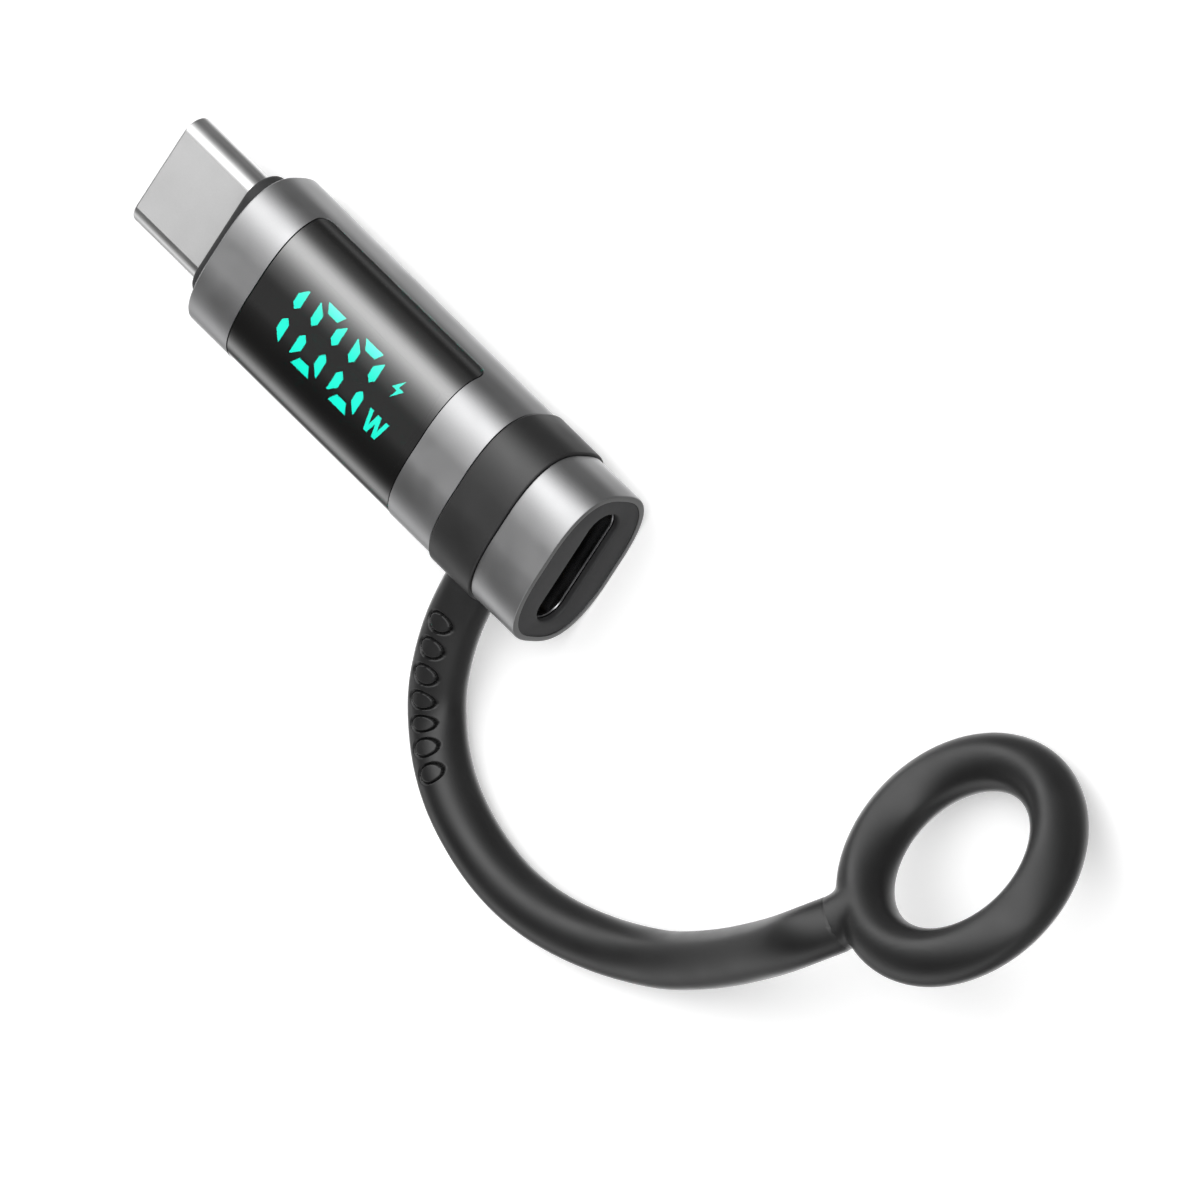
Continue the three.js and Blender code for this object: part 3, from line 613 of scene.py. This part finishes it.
def strap_skin(path):
    """The skin's points, ring by ring, whether each is pressed in, and how many rings there are."""
    outward = (path[0] - path[1]).normalized()
    into_band = Vector((0, 1, 0)) * BAND_PULL + outward * (1 - BAND_PULL)
    line = [path[0] + into_band * STRAP_REACH, *path]
    line += [path[-1] - NECK_DIRECTION * reach for reach in NECK_REACHES]
    points, pressed = [], []
    run = -STRAP_REACH
    for k, here in enumerate(line):
        before, after = line[max(k - 1, 0)], line[min(k + 1, len(line) - 1)]
        forward = (after - before).normalized()
        side = forward.cross(Vector((0, 0, 1))).normalized()
        up = side.cross(forward)
        if k:
            run += (here - line[k - 1]).length
        radius = STRAP_RADIUS - SEAM_STEP if k > len(path) else STRAP_RADIUS
        for n in range(STRAP_SIDES):
            angle = 2 * math.pi * n / STRAP_SIDES
            turned = (angle + GRIP_TILT + math.pi) % (2 * math.pi) - math.pi
            depth = grip_depth(run, turned * radius)
            # A point pressed in this deep marks its faces for the painted groove shade.
            pressed.append(depth > GRIP_DEPTH / 4)
            points.append(here + (up * math.cos(angle) + side * math.sin(angle)) * (radius - depth))
    return points, pressed, len(line)


def add_strap():
    path = strap_path()
    points, pressed, rows = strap_skin(path)
    faces = []
    for row in range(rows - 1):
        for n in range(STRAP_SIDES):
            low, high, nxt = row * STRAP_SIDES, (row + 1) * STRAP_SIDES, (n + 1) % STRAP_SIDES
            faces.append((low + n, low + nxt, high + nxt, high + n))
    faces.append(tuple(range(STRAP_SIDES)))
    faces.append(tuple(range((rows - 1) * STRAP_SIDES, rows * STRAP_SIDES)))
    strap = mesh_piece("strap", points, faces)
    smooth(strap, 60)
    # The faces pressed in by the grips take the darker silicone: painted shade in the grooves.
    paint(strap, "silicone_strap", "silicone_groove_painted_shade")
    paint_faces(strap, lambda face: int(len(face.vertices) == 4 and all(pressed[v] for v in face.vertices)))
    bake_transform(strap)
    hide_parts("lanyard_strap")
    return strap, path


RING_VOXEL = 0.13 * MM
RING_STEPS = 144
TUBE_STEPS = 48
FILLET_REACH = 3.2 * MM
# The neck's end keeps its shape over this length, to meet the strap.
NECK_KEPT = 0.35 * MM
EVEN_ROUNDS = 6
FILLET_ROUNDS = 60


def torus_part():
    """The ring alone, as points and faces."""
    sideways = RING_NORMAL.cross(NECK_DIRECTION)
    points, faces = [], []
    for k in range(RING_STEPS):
        angle = 2 * math.pi * k / RING_STEPS
        outward = NECK_DIRECTION * math.cos(angle) + sideways * math.sin(angle)
        for n in range(TUBE_STEPS):
            turn = 2 * math.pi * n / TUBE_STEPS
            points.append(RING_CENTRE + outward * (RING_RADIUS + RING_TUBE * math.cos(turn))
                          + RING_NORMAL * RING_TUBE * math.sin(turn))
            low, high, nxt = k * TUBE_STEPS, (k + 1) % RING_STEPS * TUBE_STEPS, (n + 1) % TUBE_STEPS
            faces.append((low + n, high + n, high + nxt, low + nxt))
    return points, faces


def neck_part(first):
    """The neck, as points and faces, with its points numbered from first."""
    sideways = RING_NORMAL.cross(NECK_DIRECTION)
    points, faces = [], []
    for reach in (RING_RADIUS, NECK_END):
        for n in range(TUBE_STEPS):
            turn = 2 * math.pi * n / TUBE_STEPS
            points.append(RING_CENTRE + NECK_DIRECTION * reach
                          + (sideways * math.cos(turn) + RING_NORMAL * math.sin(turn)) * STRAP_RADIUS)
    for n in range(TUBE_STEPS):
        nxt = (n + 1) % TUBE_STEPS
        faces.append((first + n, first + nxt, first + TUBE_STEPS + nxt, first + TUBE_STEPS + n))
    faces.append(tuple(range(first, first + TUBE_STEPS)))
    faces.append(tuple(range(first + TUBE_STEPS, first + 2 * TUBE_STEPS)))
    return points, faces


def add_ring():
    points, faces = torus_part()
    neck_points, neck_faces = neck_part(len(points))
    ring = mesh_piece("ring", points + neck_points, faces + neck_faces)
    remesh = ring.modifiers.new("remesh", "REMESH")
    remesh.mode = "VOXEL"
    remesh.voxel_size = RING_VOXEL
    apply_modifiers(ring)
    even = ring.vertex_groups.new(name="even")
    fillet = ring.vertex_groups.new(name="fillet")
    middle = RING_CENTRE + NECK_DIRECTION * (RING_RADIUS + RING_TUBE * 0.8)
    for vertex in ring.data.vertices:
        reach = (vertex.co - RING_CENTRE).dot(NECK_DIRECTION)
        keep = min(1.0, max(0.0, (NECK_END - reach) / NECK_KEPT))
        even.add([vertex.index], keep, "REPLACE")
        near = max(0.0, 1 - (vertex.co - middle).length / FILLET_REACH)
        fillet.add([vertex.index], min(1.0, 2 * near) * keep, "REPLACE")
    for group, rounds in (("even", EVEN_ROUNDS), ("fillet", FILLET_ROUNDS)):
        modifier = ring.modifiers.new(group, "SMOOTH")
        modifier.factor = 0.5
        modifier.iterations = rounds
        modifier.vertex_group = group
    apply_modifiers(ring)
    smooth(ring, 60)
    paint(ring, "silicone_strap")
    place(ring, "ring", "lanyard_ring")
    return ring


# ---- case ----

WINDOW_CORNER = 0.9 * MM
WINDOW_SEAM = 0.09 * MM
CORNER_STEPS = 12
# The cutting bar stands clear of the case above and on both sides.
TOOL_TOP = 6 * MM
TOOL_REACH = 8 * MM
# The blank that the lens is cut from runs past the window by this much.
LENS_MARGIN = 1 * MM
THIN_FIT = 0.02 * MM
FRONT_EDGE = 0.16 * MM
REAR_EDGE = 0.08 * MM


def window_tool(shrink):
    """A bar across the case with the window's rounded outline in side view."""
    left, right, sill = WINDOW_LEFT + shrink, WINDOW_RIGHT - shrink, WINDOW_SILL + shrink
    radius, top, reach = WINDOW_CORNER - shrink, AXIS_Z + TOOL_TOP, TOOL_REACH
    outline = [(left, top)]
    for centre, start in ((left + radius, 180), (right - radius, 270)):
        for step in range(CORNER_STEPS + 1):
            angle = math.radians(start + 90 * step / CORNER_STEPS)
            outline.append((centre + radius * math.cos(angle), sill + radius + radius * math.sin(angle)))
    outline.append((right, top))
    points = [(x, -reach, z) for x, z in outline] + [(x, reach, z) for x, z in outline]
    return mesh_piece("window_tool", points, slab_faces(len(outline)))


# The lens sits a seam's width inside the shell's window on every side.
WINDOW_LEFT = WINDOW_LOW[0] - WINDOW_SEAM
WINDOW_RIGHT = WINDOW_HIGH[0] + WINDOW_SEAM
WINDOW_SILL = WINDOW_LOW[2] - WINDOW_SEAM


def add_case():
    shell = swept_wall(
        "case_shell", tube_profile(SHELL_LOW[0], SHELL_HIGH[0], 0, -WALL, FRONT_EDGE, REAR_EDGE), pillow,
    )
    carve(shell, window_tool(0), "DIFFERENCE")
    smooth(shell, 40)
    paint(shell, "gunmetal")
    place(shell, "adapter", "metal_shell")

    cap = swept_wall(
        "case_cap", tube_profile(CAP_LOW[0], CAP_HIGH[0], 0, -WALL, REAR_EDGE, REAR_EDGE), pillow,
    )
    smooth(cap, 40)
    paint(cap, "gunmetal", "rim_metal")
    paint_faces(cap, lambda face: int(face.normal.x > 0.98))
    place(cap, "adapter", "end_cap")

    front, rear = WINDOW_LEFT - LENS_MARGIN, WINDOW_RIGHT + LENS_MARGIN
    blank = [(front, -WALL), (front, -THIN_FIT), (rear, -THIN_FIT), (rear, -WALL)]
    lens = swept_wall("lens", blank, pillow)
    carve(lens, window_tool(WINDOW_SEAM), "INTERSECT")
    smooth(lens, 40)
    paint(lens, "lens", "inside")
    paint_faces(lens, lens_slot)
    place(lens, "adapter", "display_window")


def lens_slot(face):
    """The lens's outer skin and edges are coated, and the faces toward the axis are clear."""
    y, z = face.center.y, face.center.z - AXIS_Z
    inward = face.normal.y * y + face.normal.z * z < 0
    return int(inward and abs(face.normal.x) < 0.5 and face.normal.z < 0.2)


# ---- display ----

FIGURE_Y = 0.02 * MM
GUIDE_SHOULDER = 0.6 * MM
# Outlines in millimetres from a figure's middle: an upright bar, an end bar and the middle bar.
UPRIGHT = [(1.355, 0.7), (1.01, 0.36), (0.665, 0.7), (0.665, 1.38), (1.265, 1.97), (1.355, 1.97)]
END_BAR = [(-0.86, 2.4), (0.86, 2.4), (0.46, 1.75), (-0.46, 1.75)]
MIDDLE_BAR = [(-0.6, 0), (-0.35, 0.25), (0.35, 0.25), (0.6, 0), (0.35, -0.25), (-0.35, -0.25)]
UNIT_GLYPH = [
    (-0.95, 0.7), (-0.62, 0.7), (-0.4, -0.2), (-0.16, 0.7), (0.16, 0.7), (0.4, -0.2), (0.62, 0.7),
    (0.95, 0.7), (0.56, -0.7), (0.24, -0.7), (0, 0.1), (-0.24, -0.7), (-0.56, -0.7),
]
BOLT_GLYPH = [(0.25, 0.8), (-0.5, -0.1), (-0.02, -0.1), (-0.25, -0.8), (0.5, 0.14), (0.02, 0.14)]


def bar_at(x, outline, flip_x=1, flip_y=1):
    return [(x + flip_x * px * MM, FIGURE_Y + flip_y * py * MM) for px, py in outline]


def one_figure(x):
    """(outline, lit) for the two upright bars of a one."""
    return [(bar_at(x, UPRIGHT, 1, up), True) for up in (1, -1)]


def zero_figure(x):
    """(outline, lit) for each bar of a nought; its middle bar is dark."""
    uprights = [(bar_at(x, UPRIGHT, side, up), True) for side in (1, -1) for up in (1, -1)]
    ends = [(bar_at(x, END_BAR, 1, up), True) for up in (1, -1)]
    return uprights + ends + [(bar_at(x, MIDDLE_BAR), False)]


def glyph_figure(glyph, x, y):
    return [([(x + px * MM, y + py * MM) for px, py in glyph], True)]


def add_figure(name, node, outlines):
    low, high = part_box(node)
    parts = [prism(
        name + "_base", [(low[0], low[1]), (high[0], low[1]), (high[0], high[1]), (low[0], high[1])],
        low[2], low[2] + GUIDE_SHOULDER,
    )]
    paint(parts[0], "resin")
    for number, (outline, lit) in enumerate(outlines):
        bar = prism(f"{name}_{number}", outline, low[2] + GUIDE_SHOULDER / 2, high[2])
        paint(bar, "resin", "lit")
        if lit:
            paint_faces(bar, lambda face: int(face.normal.z > 0.9))
        parts.append(bar)
    place(joined(name, parts), "adapter", node)


def add_display():
    add_figure("figure_hundreds", "light_guide_hundreds", one_figure(-6.42 * MM))
    add_figure("figure_tens", "light_guide_tens", zero_figure(-2.665 * MM))
    add_figure("figure_ones", "light_guide_ones", zero_figure(1.07 * MM))
    add_figure("figure_unit", "light_guide_unit", glyph_figure(UNIT_GLYPH, 4.15 * MM, -1.45 * MM))
    add_figure("figure_bolt", "light_guide_bolt", glyph_figure(BOLT_GLYPH, 4.15 * MM, 1.42 * MM))


# ---- plug and socket ----

PLUG_WALL = 0.28 * MM
PLUG_FIT = 0.02 * MM
SLOT_STEPS = 40
COLLAR_WIDTH = 9.5 * MM
COLLAR_HEIGHT = 3.9 * MM
COLLAR_EDGE = 0.4 * MM
FLANGE_FRONT = 0.08 * MM
FLANGE_THICKNESS = 0.2 * MM
HOLE_WIDTH = 8.5 * MM
HOLE_HEIGHT = 2.72 * MM
HOLE_EDGE = 0.16 * MM
SOCKET_HEIGHT = 2.56 * MM
PLATE_INSET = 0.41 * MM


def add_plug():
    width, height = PLUG_HIGH[1] - PLUG_LOW[1], PLUG_HIGH[2] - PLUG_LOW[2]
    tip, rear = PLUG_LOW[0], PLUG_HIGH[0]
    edge = PLUG_WALL * 0.62
    profile = rounded_corner(tip + edge, -PLUG_WALL + edge * 0.3, edge * 0.3, 270, -90, 3)
    profile += rounded_corner(tip + edge, -edge, edge, 180, -90, 6)
    profile += [(rear, 0), (rear, -PLUG_WALL)]
    jacket = swept_wall(
        "plug_jacket", profile, lambda grow: stadium(width + 2 * grow, height + 2 * grow, SLOT_STEPS),
    )
    smooth(jacket, 40)
    paint(jacket, "plug_flat", "plug_round")
    paint_faces(jacket, lambda face: int(abs(face.normal.z) < 0.995))
    place(jacket, "adapter", "plug_shell")

    hole_width, hole_height = width + 2 * PLUG_FIT, height + 2 * PLUG_FIT

    def collar_section(share):
        share_width = hole_width + (COLLAR_WIDTH - hole_width) * share
        share_height = hole_height + (COLLAR_HEIGHT - hole_height) * share
        return stadium(share_width, share_height, SLOT_STEPS)

    front, back = COLLAR_LOW[0], COLLAR_HIGH[0]
    profile = [(back, 0.0), (front + 0.12 * MM, 0.0), (front, 0.14)]
    for step in range(7):
        angle = math.radians(90 * step / 6)
        profile.append((front + COLLAR_EDGE * (1 - math.cos(angle)), 0.45 + 0.55 * math.sin(angle)))
    profile.append((back, 1.0))
    nose = swept_wall("boot_nose", profile, collar_section)
    smooth(nose, 50)
    paint(nose, "dark_plastic")

    flange_front = SHELL_LOW[0] + FLANGE_FRONT
    section = pillow(-PLATE_INSET)
    flange = loft("boot_flange", [(flange_front, section), (flange_front + FLANGE_THICKNESS, section)])
    ring = stadium(COLLAR_WIDTH - 0.3 * MM, COLLAR_HEIGHT - 0.3 * MM)
    carve(flange, loft("hole", [(flange_front - MM, ring), (flange_front + MM, ring)]), "DIFFERENCE")
    smooth(flange, 40)
    paint(flange, "dark_plastic")
    place(joined("plug_boot", [nose, flange]), "adapter", "plug_collar")


def round_hole(face, station):
    """Fillets the edge of the hole at one station along X."""
    made = bmesh.new()
    made.from_mesh(face.data)

    def on_rim(vertex):
        level = abs(vertex.co.x - station) < 0.001 * MM and abs(vertex.co.z - AXIS_Z) < HOLE_HEIGHT
        return level and abs(vertex.co.y) < HOLE_WIDTH / 2 + 0.01 * MM

    rim = [edge for edge in made.edges if all(map(on_rim, edge.verts)) and edge.calc_face_angle(0) > 1]
    bmesh.ops.bevel(made, geom=rim, offset=HOLE_EDGE, segments=4, profile=0.5, affect="EDGES")
    made.to_mesh(face.data)
    made.free()


def add_socket_face():
    front, back = FACE_LOW[0], FACE_HIGH[0]
    section = pillow(-PLATE_INSET)
    face = loft("socket_face", [(front, section), (back, section)])
    hole = stadium(HOLE_WIDTH, HOLE_HEIGHT, SLOT_STEPS)
    carve(face, loft("hole", [(front - MM, hole), (back + MM, hole)]), "DIFFERENCE")
    round_hole(face, back)
    smooth(face, 40)
    paint(face, "dark_plastic")
    place(face, "adapter", "face_plate")


JACKET_LIP = 0.12 * MM


def add_socket_jacket():
    low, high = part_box("socket_shell")
    width, height = high[1] - low[1], high[2] - low[2]
    wall = (height - SOCKET_HEIGHT) / 2
    profile = [(low[0], -wall), (low[0], 0)]
    profile += rounded_corner(high[0] - JACKET_LIP, -JACKET_LIP, JACKET_LIP, 90, -90)
    profile += rounded_corner(high[0] - JACKET_LIP, JACKET_LIP - wall, JACKET_LIP, 0, -90)
    jacket = swept_wall(
        "socket_jacket", profile, lambda grow: stadium(width + 2 * grow, height + 2 * grow, SLOT_STEPS),
    )
    smooth(jacket, 50)
    # The socket's steel is darkened as painted shade inside the socket.
    paint(jacket, "socket_steel_painted_shade")
    place(jacket, "adapter", "socket_shell")


# ---- band ----

BAND_PROUD = 0.17 * MM
BAND_INNER = -0.72 * MM
BAND_EDGE = 0.14 * MM


def add_band():
    profile = tube_profile(BAND_LOW[0], BAND_HIGH[0], BAND_PROUD, BAND_INNER, BAND_EDGE, BAND_EDGE)
    band = swept_wall("band", profile, lambda grow: pillow(grow, HALF_HEIGHT))
    smooth(band, 50)
    paint(band, "silicone")
    place(band, "adapter", "lanyard_band")


# ---- parts kept from the frame ----

CARRIED = {
    "carrier_upper": "black_plastic", "carrier_lower": "black_plastic", "display_mask": "black_plastic",
    "display_housing": "white_plastic", "led_board": "circuit_board", "pin_strip_front": "gold_plate",
    "pin_strip_rear": "gold_plate", "main_board": "circuit_board", "meter_chip": "chip_epoxy",
    "port_chip": "chip_epoxy", "shunt_resistor": "chip_epoxy", "voltage_regulator": "chip_epoxy",
    "capacitor_input": "ceramic", "capacitor_output": "ceramic", "plug_insulator": "black_plastic",
    "plug_contacts_upper": "gold_plate", "plug_contacts_lower": "gold_plate",
    "plug_ground_spring_upper": "steel", "plug_ground_spring_lower": "steel",
    "plug_latch_left": "steel", "plug_latch_right": "steel",
    "socket_tongue": "black_plastic", "socket_mid_plate": "steel",
    "socket_contacts_upper": "gold_plate", "socket_contacts_lower": "gold_plate",
}


def finish_carried():
    for node, finish in CARRIED.items():
        paint(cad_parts[node], finish)


add_camera()
strap, path = add_strap()
ring = add_ring()
add_world()
add_fill()
add_floor()
add_case()
add_display()
add_plug()
add_socket_face()
add_socket_jacket()
add_band()
finish_carried()
bpy.context.scene.view_settings.view_transform = "Standard"
